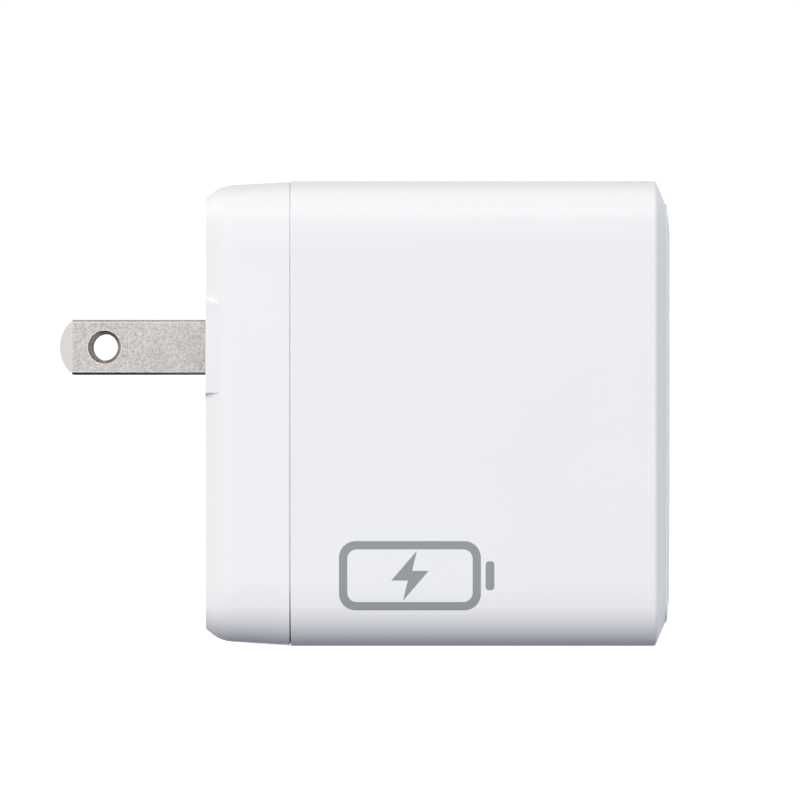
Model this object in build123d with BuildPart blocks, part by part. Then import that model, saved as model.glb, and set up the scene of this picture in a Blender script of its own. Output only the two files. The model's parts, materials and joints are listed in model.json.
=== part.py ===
from build123d import *
import os
from math import cos, radians, sin

# Wall-plug power adapter with folding mains blades. Millimetres.
# +X points from the wall towards the output sockets, Y = 0 is the mid-plane, and +Z is up.
# The origin is the centre of the rear face, which lies against the wall outlet.

os.makedirs("parts", exist_ok=True)

# ---- driving dimensions -------------------------------------------------------------------
BODY_LENGTH = 53.8        # along X
BODY_THICKNESS = 30.0     # along Y
BODY_HEIGHT = 54.0        # along Z
CORNER_RADIUS = 5.0       # middle of each corner of the outline seen along X
CORNER_LEAD_RADIUS = 20.0  # gentle arcs that lead into each corner
CORNER_LEAD_ANGLE = 8.0   # degrees
WALL = 2.0
OVERSHOOT = 1.0           # how far a cut runs past a surface

# rear cover
SEAM_X = 9.70             # where the rear cover ends
SEAM_GAP = 0.16
SEAM_STEP = 0.10          # how far the main shell stands proud of the cover
COVER_DRAFT = 3.3         # degrees
COVER_BEVEL_IN = 1.3
COVER_BEVEL_DEEP = 1.6
COVER_EDGE_RADIUS = 4.2
TONGUE_LENGTH = 3.5
TONGUE_WALL = 1.3
FIT_GAP = 0.15            # around pieces that slot into each other

# front bevel and panel
BEVEL_X = 52.15           # where the front bevel starts
BEVEL_END_X = 53.25
BEVEL_IN = 2.58           # how far the bevel leans inwards
PANEL_GAP = 0.10
PANEL_CROWN = 0.45
PANEL_CROWN_IN = 3.3
LIP_X = 50.9              # inner side of the lip that holds the panel
PANEL_BACK_X = 49.6
PANEL_CROWN_RADIUS = 12.0
SHOULDER_RADIUS = 0.45
PORT_LEAD_IN = 0.35

# plug
AXLE_X = 3.5
AXLE_Z = 7.7
BLADE_WIDTH = 6.4
BLADE_THICKNESS = 1.5
BLADE_PITCH = 12.7
BLADE_TIP_X = -17.1
BLADE_TIP_ARC = 1.5       # depth of the rounded tip
BLADE_TIP_THICKNESS = 0.75
BLADE_EDGE_CHAMFER = 0.28
BLADE_HOLE_X = -11.85
BLADE_HOLE_RADIUS = 1.55
BLADE_HOLE_CHAMFER = 0.40
TAIL_REACH = 4.9          # from the axle to the end of the contact tail
TAIL_WIDTH = 2.5
TAIL_ROOM = 0.6           # above the tail when folded
BARREL_RADIUS = 3.5
BARREL_FLAT = 3.25        # from the axis to each flat
BARREL_HALF_LENGTH = 9.7
STUB_RADIUS = 1.6
STUB_END_Y = 11.6
STUB_CHAMFER = 0.25
BEARING_CLEARANCE = 0.05
SLOT_WIDTH = 2.2
SLOT_BOTTOM_Z = -13.4
WINDOW_HALF_HEIGHT = 3.45
RETAINER_X = 7.2          # where the retainer lies on the cover's ribs
RETAINER_THICKNESS = 1.6
RETAINER_HALF_WIDTH = 11.4
RETAINER_TOP_Z = 18.0
RETAINER_BOTTOM_Z = -19.0
RETAINER_CORNER = 2.0
TAB_PLAY = 0.2            # around each tab that closes an axle saddle
TAIL_SLOT_Y = 6.2
TAIL_SLOT_WIDTH = 2.6
TAIL_SLOT_RISE = 1.2
TAIL_SLOT_HEIGHT = 6.0
RIB = 1.1
BEARING_Y = 9.9           # inner side of the bearing ribs
BEARING_RIB = 1.9
BEARING_HEIGHT = 8.6
SCREW_PLACES = [(0, 15.6), (9.2, 15.6), (-9.2, 15.6), (0, -16.6)]   # (y, z)
SCREW_RADIUS = 0.8
SCREW_LENGTH = 5.5
SCREW_HEAD_RADIUS = 1.5
SCREW_HEAD_HEIGHT = 0.9
SCREW_SLOT = (2.0, 0.4)
BOSS_RADIUS = 1.9
DETENT_WIDTH = 5.0
DETENT_LENGTH = 9.0
DETENT_THICKNESS = 0.3
DETENT_START_Z = 6.0      # upper end, above the axle
DETENT_BEND_Z = 4.2       # where it leaves the retainer, above the axle
DETENT_TOUCH_Z = 1.6      # half the stretch that presses on the barrel
DETENT_GAP = 0.03
DETENT_PLAY = 0.2         # around it in the retainer
CONTACT_THICKNESS = 0.4
CONTACT_WIDTH = 2.0
CONTACT_GAP = 0.03
CONTACT_FOOT = 2.4
CONTACT_FRONT_X = 11.0
CONTACT_SET_IN = 0.1      # from the retainer's rear face

# hinge pads at the sides of the rear face
PAD_Y = 14.2
PAD_ROOT_Y = 12.9
PAD_ABOVE = 5.05          # from the axle to the upper end
PAD_BELOW = 5.3           # from the axle to the lower end
PAD_SLOPE = 0.5
PAD_DEPTH = 2.2

# finger scoop under the folded blades' tips
SCOOP_Z = -8.4
SCOOP_RADIUS = 9.0
SCOOP_DEPTH = 1.7
SCOOP_HALF_WIDTH = 10.4
SCOOP_BACK_Y = 11.2
SCOOP_BACK_HEIGHT = 12.4
SCOOP_BACK_DEPTH = 1.4
MOUTH_CHAMFER = 0.2       # around the slots and the scoop in the rear face

# boards
BOARD_Y = -9.6            # component side of the main board
BOARD_THICKNESS = 1.2
BOARD_BACK_X = 13.8
BOARD_FRONT_X = 39.3
BOARD_HALF_HEIGHT = 24.0
PORT_BOARD_X = 39.6
PORT_BOARD_THICKNESS = 1.2
PORT_BOARD_HALF_WIDTH = 12.4
PORT_BOARD_HALF_HEIGHT = 24.2
PORT_BOARD_CORNER = 4.4
RAIL_THICKNESS = 1.0      # rails that hold the main board's edges
RAIL_INNER_Z = 23.1
RAIL_GAP = 0.1
RAIL_ROOT = 0.5           # how far the rails reach into the wall
PIN_SIZE = 0.64
PIN_PITCH = 2.54
PIN_COUNT = 8
PIN_HOLE_RADIUS = 0.5
PIN_BACK_X = 36.6
PIN_STAND = 0.8           # beyond the port board

# output sockets
PORT_MOUTH_X = 53.0
USB_C_Z = [14.0, 2.6]
USB_A_Z = -11.2
USB_C_OUTER = (8.94, 3.26)
USB_C_INNER = (8.34, 2.56)
USB_A_OUTER = (13.1, 5.72)
USB_A_INNER = (12.5, 5.12)
USB_A_CORNER = 0.6
SOCKET_LEAD_IN = 0.12
INSERT_PLAY = 0.02        # around each socket's insert
SOCKET_FLOOR = 1.0
INSERT_DEPTH = 3.0
USB_C_TONGUE_WIDTH = 6.69
USB_C_TONGUE_THICKNESS = 0.60
USB_C_TONGUE_TIP_X = 52.2
USB_C_TONGUE_CORNER = 0.25
USB_C_PADS = 12
USB_C_PAD_PITCH = 0.5
USB_C_PAD_WIDTH = 0.27
USB_C_PAD_THICKNESS = 0.05
USB_C_PAD_LENGTH = 6.6
USB_A_TONGUE_WIDTH = 11.1
USB_A_TONGUE_THICKNESS = 1.84
USB_A_TONGUE_RISE = 1.02
USB_A_TONGUE_TIP_X = 52.1
USB_A_TONGUE_CHAMFER = 0.3
USB_A_PADS = 4
USB_A_PAD_PITCH = 2.3
USB_A_PAD_WIDTH = 1.0
USB_A_PAD_THICKNESS = 0.12
USB_A_PAD_LENGTH = 6.5
PORT_CLEARANCE = 0.12     # between a socket's shell and the panel

# mains leads
LEAD_RADIUS = 0.6
LEAD_START_X = 9.6
LEAD_TURN_X = 12.2
LEAD_BOARD_X = 15.2
LEAD_LOW_Y = -6.6
LEAD_BEND = 1.1
LEAD_Z = (11.2, 3.5)      # where each lead meets the board

# converter parts
BULK_X = (20.2, 32.8)
BULK_Z = -16.9
BULK_RADIUS = 6.0
BULK_HEIGHT = 19.2
BULK_EDGE_RADIUS = 0.6
BULK_GROOVE_Y = 1.6
BULK_GROOVE_WIDTH = 0.9
BULK_GROOVE_DEPTH = 0.5
VENT_WIDTH = 0.3
VENT_DEPTH = 0.2
TRANSFORMER_X = 27.9
TRANSFORMER_Z = -0.8
CORE_BOTTOM_Y = -7.8
CORE_HEIGHT = 18.0
CORE_PLATE = 2.6
CORE_LENGTH = 20.4
CORE_WIDTH = 14.4
CORE_LEG = 2.3
CORE_POST_RADIUS = 4.2
CORE_GAP = 0.1            # between the core and the bobbin
BOBBIN_TUBE_RADIUS = 5.0
BOBBIN_FLANGE = 0.7
BOBBIN_FLANGE_RADIUS = 7.6
BOBBIN_BASE_LENGTH = 12.0
BOBBIN_BASE_WIDTH = 18.2
BOBBIN_BAR = 1.7
WINDING_RADIUS = 7.3
CHOKE_X = 20.6
CHOKE_Z = 15.2
CHOKE_LIFT = 0.9
CHOKE_THICKNESS = 4.8
CHOKE_OUTER_RADIUS = 5.3
CHOKE_INNER_RADIUS = 3.1
CHOKE_EDGE_RADIUS = 0.4
CHOKE_WIRE = 0.6
CHOKE_WIRE_GAP = 0.03
CHOKE_WIRE_BEND = 0.7
CHOKE_TURNS = 7           # on each half
CHOKE_SPREAD = 130        # degrees
THERMISTOR_X = 17.0
THERMISTOR_Z = 21.5
THERMISTOR_RADIUS = 2.9
THERMISTOR_THICKNESS = 1.5
THERMISTOR_EDGE_RADIUS = 0.4
Y_CAPACITOR_X = 28.0
Y_CAPACITOR_Z = 19.3
Y_CAPACITOR_RADIUS = 3.5
Y_CAPACITOR_THICKNESS = 3.2
Y_CAPACITOR_EDGE_RADIUS = 0.9
LEG_HEIGHT = (0.5, 0.2)   # of the thermistor and the Y capacitor above the board
BOX_EDGE_RADIUS = 0.4
CHIP_CHAMFER = 0.15
CHIP_GRID_MIDDLE = (31.0, -14.0)
CHIP_GRID_STEP = (3.2, 2.6)
CHIP_GRID_COUNT = 4       # each way
CHIP_SIZE = (2.0, 1.25)
CHIP_HEIGHT = 0.7
PORT_PART_CHAMFER = 0.3
PORT_SWITCH_PLACES = [(8.4, 3.0), (8.4, -10.2), (2.4, -10.2)]   # (y, z)
PORT_SWITCH_SIZE = 3.0
PORT_SWITCH_THICKNESS = 0.8

# layers between the parts and the housing
SHEET_Y = 12.28
SHEET_THICKNESS = 0.15
SHEET_HALF_HEIGHT = 21.6
SPREADER_Y = 12.64
SPREADER_THICKNESS = 0.5
SPREADER_HALF_HEIGHT = 20.4
LAYER_MARGIN = 0.3        # inside the edges of what they cover
LAYER_CORNER = 1.5

half_thickness = BODY_THICKNESS / 2
half_height = BODY_HEIGHT / 2
cavity_z = half_height - WALL
board_under_y = BOARD_Y - BOARD_THICKNESS
blade_y = BLADE_PITCH / 2
pocket_top_z = AXLE_Z + TAIL_REACH + TAIL_ROOM


def save(piece, name):
    """Label a finished piece and write it to its own STEP file."""
    piece.part.label = name
    export_step(piece.part, f"parts/{name}.step")


def body_section(inset):
    """Fill the body's outline, moved inwards by inset. Gentle arcs lead into each tight corner arc."""
    tight = CORNER_RADIUS - inset
    gentle = CORNER_LEAD_RADIUS - inset
    between = gentle - tight
    edge_y = half_thickness - inset
    edge_z = half_height - inset
    lead = radians(CORNER_LEAD_ANGLE)
    middle_y = edge_y - gentle + between * cos(lead)
    middle_z = edge_z - gentle + between * cos(lead)
    run_y = middle_y - between * sin(lead)
    run_z = middle_z - between * sin(lead)
    with BuildLine(Plane.XY) as outline:
        for quarter, (side_y, side_z) in enumerate(((1, 1), (-1, 1), (-1, -1), (1, -1))):
            middle = Vector(side_y * middle_y, side_z * middle_z)
            start = 90 * quarter
            first_lean = radians(start + CORNER_LEAD_ANGLE)
            last_lean = radians(start + 90 - CORNER_LEAD_ANGLE)
            CenterArc(middle - Vector(cos(first_lean), sin(first_lean)) * between, gentle,
                      start, CORNER_LEAD_ANGLE)
            CenterArc(middle, tight, start + CORNER_LEAD_ANGLE, 90 - 2 * CORNER_LEAD_ANGLE)
            CenterArc(middle - Vector(cos(last_lean), sin(last_lean)) * between, gentle,
                      start + 90 - CORNER_LEAD_ANGLE, CORNER_LEAD_ANGLE)
        Line((edge_y, -run_z), (edge_y, run_z))
        Line((run_y, edge_z), (-run_y, edge_z))
        Line((-edge_y, run_z), (-edge_y, -run_z))
        Line((-run_y, -edge_z), (run_y, -edge_z))
    make_face(outline.edges())


def along_y(y):
    """Plane at depth y, with sketch axes along X and Z; extruding by a negative amount goes to +Y."""
    return Plane.XZ.offset(-y)


# ---- housing ------------------------------------------------------------------------------
with BuildPart() as main_shell:
    with BuildSketch(Plane.YZ.offset(SEAM_X + SEAM_GAP)):
        body_section(0)
    extrude(amount=BEVEL_END_X - SEAM_X - SEAM_GAP)
    rim = main_shell.faces().sort_by(Axis.X)[-1]
    chamfer(rim.edges(), length=BEVEL_IN, length2=BEVEL_END_X - BEVEL_X, reference=rim)
    shoulder = main_shell.edges().filter_by_position(Axis.X, BEVEL_X - 0.01, BEVEL_X + 0.01)
    fillet(shoulder, radius=SHOULDER_RADIUS)
    with BuildSketch(Plane.YZ):
        body_section(WALL)
    extrude(amount=LIP_X, mode=Mode.SUBTRACT)
    with BuildSketch(Plane.YZ.offset(LIP_X)):
        body_section(BEVEL_IN)
    extrude(amount=WALL + BEVEL_IN, mode=Mode.SUBTRACT)
    # rails that the main board's edges slide behind
    rail_y = BOARD_Y + RAIL_GAP + RAIL_THICKNESS / 2
    rail_end_z = cavity_z + RAIL_ROOT
    for side in (1, -1):
        with BuildSketch(Plane.YZ.offset(BOARD_BACK_X)):
            with Locations((rail_y, side * (RAIL_INNER_Z + rail_end_z) / 2)):
                Rectangle(RAIL_THICKNESS, rail_end_z - RAIL_INNER_Z)
        extrude(amount=BOARD_FRONT_X - BOARD_BACK_X)
save(main_shell, "main_shell")

with BuildPart() as front_panel:
    with BuildSketch(Plane.YZ.offset(PANEL_BACK_X)):
        body_section(WALL + FIT_GAP)
    extrude(amount=LIP_X - PANEL_BACK_X)
    with BuildSketch(Plane.YZ.offset(LIP_X)):
        body_section(BEVEL_IN + PANEL_GAP)
    extrude(amount=BODY_LENGTH - LIP_X)
    # crowned front: a gently bent profile across each direction
    crown_x = BODY_LENGTH - PANEL_CROWN
    for plane, half_span in ((Plane.XZ, half_height - BEVEL_IN), (Plane.XY, half_thickness - BEVEL_IN)):
        with BuildSketch(plane) as crown:
            with BuildLine():
                Polyline((0, -half_span - OVERSHOOT), (crown_x, -half_span - OVERSHOOT),
                         (crown_x, -half_span), (BODY_LENGTH, PANEL_CROWN_IN - half_span),
                         (BODY_LENGTH, half_span - PANEL_CROWN_IN), (crown_x, half_span),
                         (crown_x, half_span + OVERSHOOT), (0, half_span + OVERSHOOT), close=True)
            make_face()
            fillet(crown.vertices().group_by(Axis.X)[-1], radius=PANEL_CROWN_RADIUS)
        extrude(amount=half_height, both=True, mode=Mode.INTERSECT)
    with BuildSketch(Plane.YZ.offset(PANEL_BACK_X)):
        for z in USB_C_Z:
            with Locations((0, z)):
                SlotOverall(USB_C_OUTER[0] + 2 * PORT_CLEARANCE, USB_C_OUTER[1] + 2 * PORT_CLEARANCE)
        with Locations((0, USB_A_Z)):
            RectangleRounded(USB_A_OUTER[0] + 2 * PORT_CLEARANCE, USB_A_OUTER[1] + 2 * PORT_CLEARANCE,
                             USB_A_CORNER)
    extrude(amount=BODY_LENGTH - PANEL_BACK_X, mode=Mode.SUBTRACT)
    mouths = front_panel.faces().sort_by(Axis.X)[-1].inner_wires().edges()
    chamfer(mouths, length=PORT_LEAD_IN)
save(front_panel, "front_panel")

with BuildPart() as rear_cover:
    with BuildSketch(Plane.YZ.offset(SEAM_X)):
        body_section(SEAM_STEP)
    extrude(amount=-SEAM_X, taper=COVER_DRAFT)
    rear = rear_cover.faces().sort_by(Axis.X)[0]
    chamfer(rear.edges(), length=COVER_BEVEL_IN, length2=COVER_BEVEL_DEEP, reference=rear)
    bevel_ring = rear_cover.edges().filter_by_position(Axis.X, COVER_BEVEL_DEEP - FIT_GAP,
                                                       COVER_BEVEL_DEEP + FIT_GAP)
    fillet(bevel_ring, radius=COVER_EDGE_RADIUS)
    # hinge pads: one at each side, level with the rear face, with sloped ends
    for side in (1, -1):
        with BuildSketch(Plane.YZ):
            with BuildLine():
                Polyline((side * PAD_ROOT_Y, AXLE_Z - PAD_BELOW - PAD_SLOPE),
                         (side * PAD_Y, AXLE_Z - PAD_BELOW),
                         (side * PAD_Y, AXLE_Z + PAD_ABOVE),
                         (side * PAD_ROOT_Y, AXLE_Z + PAD_ABOVE + PAD_SLOPE),
                         close=True)
            make_face()
        extrude(amount=PAD_DEPTH)
    # hollow, with a tongue that slides into the main shell
    with BuildSketch(Plane.YZ.offset(SEAM_X)):
        body_section(WALL + FIT_GAP)
    extrude(amount=TONGUE_LENGTH)
    with BuildSketch(Plane.YZ.offset(SEAM_X + TONGUE_LENGTH)):
        body_section(WALL + FIT_GAP + TONGUE_WALL)
    extrude(amount=-(SEAM_X + TONGUE_LENGTH - WALL), mode=Mode.SUBTRACT)
    # walls of the two blade pockets, closed at the bottom, and the backing of the finger scoop
    for side in (1, -1):
        with BuildSketch(Plane.YZ.offset(WALL)):
            with Locations((side * blade_y, (pocket_top_z + SLOT_BOTTOM_Z) / 2)):
                Rectangle(SLOT_WIDTH + 2 * RIB, pocket_top_z - SLOT_BOTTOM_Z + 2 * RIB)
        extrude(amount=RETAINER_X - WALL)
    with BuildSketch(Plane.YZ.offset(WALL)):
        with Locations((0, SCOOP_Z)):
            Rectangle(2 * SCOOP_BACK_Y, SCOOP_BACK_HEIGHT)
    extrude(amount=SCOOP_BACK_DEPTH)
    # bearing ribs for the stub axles
    for side in (1, -1):
        with BuildSketch(Plane.YZ.offset(WALL)):
            with Locations((side * (BEARING_Y + BEARING_RIB / 2), AXLE_Z)):
                Rectangle(BEARING_RIB, BEARING_HEIGHT)
        extrude(amount=RETAINER_X - WALL)
    # bosses for the retainer screws
    with BuildSketch(Plane.YZ.offset(WALL)):
        with Locations(*SCREW_PLACES):
            Circle(BOSS_RADIUS)
    extrude(amount=RETAINER_X - WALL)
    with BuildSketch(Plane.YZ.offset(WALL)):
        with Locations(*SCREW_PLACES):
            Circle(SCREW_RADIUS + FIT_GAP / 3)
    extrude(amount=RETAINER_X - WALL, mode=Mode.SUBTRACT)
    # room for the barrel and its window in the rear face
    with BuildSketch(along_y(0)):
        with Locations((AXLE_X, AXLE_Z)):
            Circle(BARREL_RADIUS + BEARING_CLEARANCE * 3)
        with Locations(((AXLE_X + RETAINER_X + OVERSHOOT) / 2, AXLE_Z)):
            Rectangle(RETAINER_X + OVERSHOOT - AXLE_X, 2 * (WINDOW_HALF_HEIGHT + 2 * FIT_GAP))
    extrude(amount=BARREL_HALF_LENGTH + FIT_GAP, both=True, mode=Mode.SUBTRACT)
    with BuildSketch(Plane.YZ.offset(-OVERSHOOT)):
        with Locations((0, AXLE_Z)):
            Rectangle(2 * (BARREL_HALF_LENGTH + FIT_GAP), 2 * WINDOW_HALF_HEIGHT)
        for side in (1, -1):
            with Locations((side * blade_y, (AXLE_Z + WINDOW_HALF_HEIGHT + SLOT_BOTTOM_Z) / 2)):
                Rectangle(SLOT_WIDTH, AXLE_Z + WINDOW_HALF_HEIGHT - SLOT_BOTTOM_Z)
    extrude(amount=OVERSHOOT + RETAINER_X, mode=Mode.SUBTRACT)
    # pocket above the barrel for the contact tails when folded
    for side in (1, -1):
        with BuildSketch(Plane.YZ.offset(WALL)):
            with Locations((side * blade_y, (AXLE_Z + pocket_top_z) / 2)):
                Rectangle(SLOT_WIDTH, pocket_top_z - AXLE_Z)
        extrude(amount=RETAINER_X - WALL, mode=Mode.SUBTRACT)
    # axle saddles, open towards the retainer
    with BuildSketch(along_y(0)):
        with Locations((AXLE_X, AXLE_Z)):
            Circle(STUB_RADIUS + BEARING_CLEARANCE)
        with Locations(((AXLE_X + RETAINER_X + OVERSHOOT) / 2, AXLE_Z)):
            Rectangle(RETAINER_X + OVERSHOOT - AXLE_X, 2 * (STUB_RADIUS + BEARING_CLEARANCE))
    extrude(amount=STUB_END_Y + FIT_GAP, both=True, mode=Mode.SUBTRACT)
    # finger scoop across the folded blades
    with BuildSketch(along_y(0)):
        with Locations((SCOOP_DEPTH - SCOOP_RADIUS, SCOOP_Z)):
            Circle(SCOOP_RADIUS)
    extrude(amount=SCOOP_HALF_WIDTH, both=True, mode=Mode.SUBTRACT)
    rear_faces = rear_cover.faces().filter_by(Plane.YZ).group_by(Axis.X)[0]
    ring_face = rear_faces.sort_by(SortBy.AREA)[-1]
    island = rear_faces.sort_by(SortBy.AREA)[0]
    chamfer(ring_face.inner_wires().edges() + island.outer_wire().edges(), length=MOUTH_CHAMFER)
save(rear_cover, "rear_cover")

# ---- folding plug -------------------------------------------------------------------------
with BuildPart() as plug_barrel:
    with BuildSketch(along_y(0)):
        with Locations((AXLE_X, AXLE_Z)):
            Circle(BARREL_RADIUS)
            Rectangle(2 * BARREL_FLAT, 2 * BARREL_FLAT, mode=Mode.INTERSECT)
    extrude(amount=BARREL_HALF_LENGTH, both=True)
    with BuildSketch(along_y(0)):
        with Locations((AXLE_X, AXLE_Z)):
            Circle(STUB_RADIUS)
    extrude(amount=STUB_END_Y, both=True)
    chamfer(plug_barrel.faces().sort_by(Axis.Y)[0].edges(), length=STUB_CHAMFER)
    chamfer(plug_barrel.faces().sort_by(Axis.Y)[-1].edges(), length=STUB_CHAMFER)
    # seats of the moulded-in blades
    for side in (1, -1):
        with BuildSketch(along_y(side * blade_y)):
            with Locations((AXLE_X - BARREL_RADIUS, AXLE_Z)):
                Rectangle(2 * BARREL_RADIUS, BLADE_WIDTH)
            with Locations((AXLE_X + BARREL_RADIUS, AXLE_Z)):
                Rectangle(2 * BARREL_RADIUS, TAIL_WIDTH)
        extrude(amount=BLADE_THICKNESS / 2, both=True, mode=Mode.SUBTRACT)
save(plug_barrel, "plug_barrel")

tip_corner_x = BLADE_TIP_X + BLADE_TIP_ARC
for name, side in (("blade_left", 1), ("blade_right", -1)):
    middle_y = side * blade_y
    with BuildPart() as blade:
        with BuildSketch(along_y(middle_y)):
            with Locations(((AXLE_X + tip_corner_x) / 2, AXLE_Z)):
                Rectangle(AXLE_X - tip_corner_x, BLADE_WIDTH)
            with Locations((AXLE_X, AXLE_Z)):
                Rectangle(2 * TAIL_REACH, TAIL_WIDTH)
        extrude(amount=BLADE_THICKNESS / 2, both=True)
        long_edges = blade.edges().filter_by(Axis.X).group_by(SortBy.LENGTH)[-1]
        chamfer(long_edges, length=BLADE_EDGE_CHAMFER)
        with BuildSketch(along_y(middle_y)):
            with BuildLine():
                ThreePointArc((tip_corner_x, AXLE_Z + BLADE_WIDTH / 2), (BLADE_TIP_X, AXLE_Z),
                              (tip_corner_x, AXLE_Z - BLADE_WIDTH / 2))
                Line((tip_corner_x, AXLE_Z - BLADE_WIDTH / 2), (tip_corner_x, AXLE_Z + BLADE_WIDTH / 2))
            make_face()
        extrude(amount=BLADE_THICKNESS / 2, both=True)
        # coined tip: both faces slope towards the rounded end
        for face_sign in (1, -1):
            outer_y = middle_y + face_sign * BLADE_THICKNESS / 2
            tip_y = middle_y + face_sign * BLADE_TIP_THICKNESS / 2
            beyond_x = 2 * BLADE_TIP_X - tip_corner_x
            with BuildSketch(Plane.XY.offset(AXLE_Z)):
                with BuildLine():
                    Polyline((tip_corner_x, outer_y), (beyond_x, 2 * tip_y - outer_y),
                             (beyond_x, outer_y), close=True)
                make_face()
            extrude(amount=BLADE_WIDTH, both=True, mode=Mode.SUBTRACT)
        with BuildSketch(along_y(middle_y)):
            with Locations((BLADE_HOLE_X, AXLE_Z)):
                Circle(BLADE_HOLE_RADIUS)
        extrude(amount=BLADE_THICKNESS, both=True, mode=Mode.SUBTRACT)
        hole_wall = blade.faces().filter_by(GeomType.CYLINDER).sort_by(Axis.X)[-1]
        chamfer(hole_wall.edges().filter_by(GeomType.CIRCLE), length=BLADE_HOLE_CHAMFER)
    save(blade, name)

# ---- plug mechanism inside the rear cover ---------------------------------------------------
retainer_back_x = RETAINER_X + RETAINER_THICKNESS
with BuildPart() as barrel_retainer:
    with BuildSketch(Plane.YZ.offset(RETAINER_X)):
        with Locations((0, (RETAINER_TOP_Z + RETAINER_BOTTOM_Z) / 2)):
            RectangleRounded(2 * RETAINER_HALF_WIDTH, RETAINER_TOP_Z - RETAINER_BOTTOM_Z, RETAINER_CORNER)
    extrude(amount=RETAINER_THICKNESS)
    # tabs that close the axle saddles
    tab_x = AXLE_X + STUB_RADIUS + BEARING_CLEARANCE
    for side in (1, -1):
        with BuildSketch(Plane.YZ.offset(tab_x)):
            with Locations((side * (BEARING_Y + BEARING_RIB / 2), AXLE_Z)):
                Rectangle(BEARING_RIB - 2 * TAB_PLAY, 2 * STUB_RADIUS - TAB_PLAY)
        extrude(amount=RETAINER_X - tab_x)
    # slots for the contact tails and for the detent spring
    for side in (1, -1):
        with BuildSketch(Plane.YZ.offset(RETAINER_X)):
            with Locations((side * TAIL_SLOT_Y, AXLE_Z + TAIL_SLOT_RISE)):
                Rectangle(TAIL_SLOT_WIDTH, TAIL_SLOT_HEIGHT)
        extrude(amount=RETAINER_THICKNESS, mode=Mode.SUBTRACT)
    with BuildSketch(Plane.YZ.offset(RETAINER_X)):
        with Locations(*SCREW_PLACES):
            Circle(SCREW_RADIUS + FIT_GAP)
    extrude(amount=RETAINER_THICKNESS, mode=Mode.SUBTRACT)
    with BuildSketch(Plane.YZ.offset(RETAINER_X)):
        with Locations((0, AXLE_Z + DETENT_START_Z - DETENT_LENGTH / 2)):
            Rectangle(DETENT_WIDTH + 2 * DETENT_PLAY, DETENT_LENGTH + 2 * DETENT_PLAY)
    extrude(amount=DETENT_THICKNESS, mode=Mode.SUBTRACT)
save(barrel_retainer, "barrel_retainer")

with BuildPart() as retainer_screws:
    with BuildSketch(Plane.YZ.offset(retainer_back_x - SCREW_LENGTH)):
        with Locations(*SCREW_PLACES):
            Circle(SCREW_RADIUS)
    extrude(amount=SCREW_LENGTH)
    with BuildSketch(Plane.YZ.offset(retainer_back_x)):
        with Locations(*SCREW_PLACES):
            Circle(SCREW_HEAD_RADIUS)
    extrude(amount=SCREW_HEAD_HEIGHT)
    with BuildSketch(Plane.YZ.offset(retainer_back_x + SCREW_HEAD_HEIGHT)):
        with Locations(*SCREW_PLACES):
            Rectangle(*SCREW_SLOT)
            Rectangle(SCREW_SLOT[1], SCREW_SLOT[0])
    extrude(amount=-SCREW_HEAD_HEIGHT / 2, mode=Mode.SUBTRACT)
save(retainer_screws, "retainer_screws")

spring_back_x = RETAINER_X + DETENT_THICKNESS / 2
spring_front_x = AXLE_X + BARREL_FLAT + DETENT_GAP + DETENT_THICKNESS / 2
with BuildPart() as detent_spring:
    with BuildSketch(along_y(0)):
        with BuildLine():
            Polyline((spring_back_x, AXLE_Z + DETENT_START_Z), (spring_back_x, AXLE_Z + DETENT_BEND_Z),
                     (spring_front_x, AXLE_Z + DETENT_TOUCH_Z), (spring_front_x, AXLE_Z - DETENT_TOUCH_Z))
        trace(line_width=DETENT_THICKNESS)
    extrude(amount=DETENT_WIDTH / 2, both=True)
save(detent_spring, "detent_spring")

contact_back_x = RETAINER_X + CONTACT_SET_IN
for name, side in (("ac_contact_left", 1), ("ac_contact_right", -1)):
    leaf_y = side * (blade_y - BLADE_THICKNESS / 2 - CONTACT_GAP - CONTACT_THICKNESS / 2)
    with BuildPart() as contact:
        with BuildSketch(along_y(leaf_y)):
            with Locations(((CONTACT_FRONT_X + contact_back_x) / 2, AXLE_Z)):
                Rectangle(CONTACT_FRONT_X - contact_back_x, CONTACT_WIDTH)
        extrude(amount=CONTACT_THICKNESS / 2, both=True)
        with BuildSketch(Plane.YZ.offset(retainer_back_x)):
            with Locations((leaf_y - side * CONTACT_FOOT / 2, AXLE_Z)):
                Rectangle(CONTACT_FOOT, CONTACT_WIDTH)
        extrude(amount=CONTACT_THICKNESS)
    save(contact, name)

for name, side, board_z in (("ac_lead_left", 1, LEAD_Z[0]), ("ac_lead_right", -1, LEAD_Z[1])):
    start_y = side * (blade_y - BLADE_THICKNESS / 2 - CONTACT_GAP - CONTACT_THICKNESS - LEAD_RADIUS)
    with BuildPart() as lead:
        with BuildLine() as route:
            FilletPolyline((LEAD_START_X, start_y, AXLE_Z), (LEAD_TURN_X, start_y, AXLE_Z),
                           (LEAD_TURN_X, LEAD_LOW_Y, board_z), (LEAD_BOARD_X, LEAD_LOW_Y, board_z),
                           (LEAD_BOARD_X, BOARD_Y, board_z), radius=LEAD_BEND)
        with BuildSketch(Plane(origin=route.line @ 0, z_dir=route.line % 0)):
            Circle(LEAD_RADIUS)
        sweep(path=route.line)
    save(lead, name)

# ---- boards ---------------------------------------------------------------------------------
with BuildPart() as main_board:
    with BuildSketch(along_y(BOARD_Y)):
        with Locations(((BOARD_BACK_X + BOARD_FRONT_X) / 2, 0)):
            Rectangle(BOARD_FRONT_X - BOARD_BACK_X, 2 * BOARD_HALF_HEIGHT)
    extrude(amount=BOARD_THICKNESS)
save(main_board, "main_board")

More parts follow.
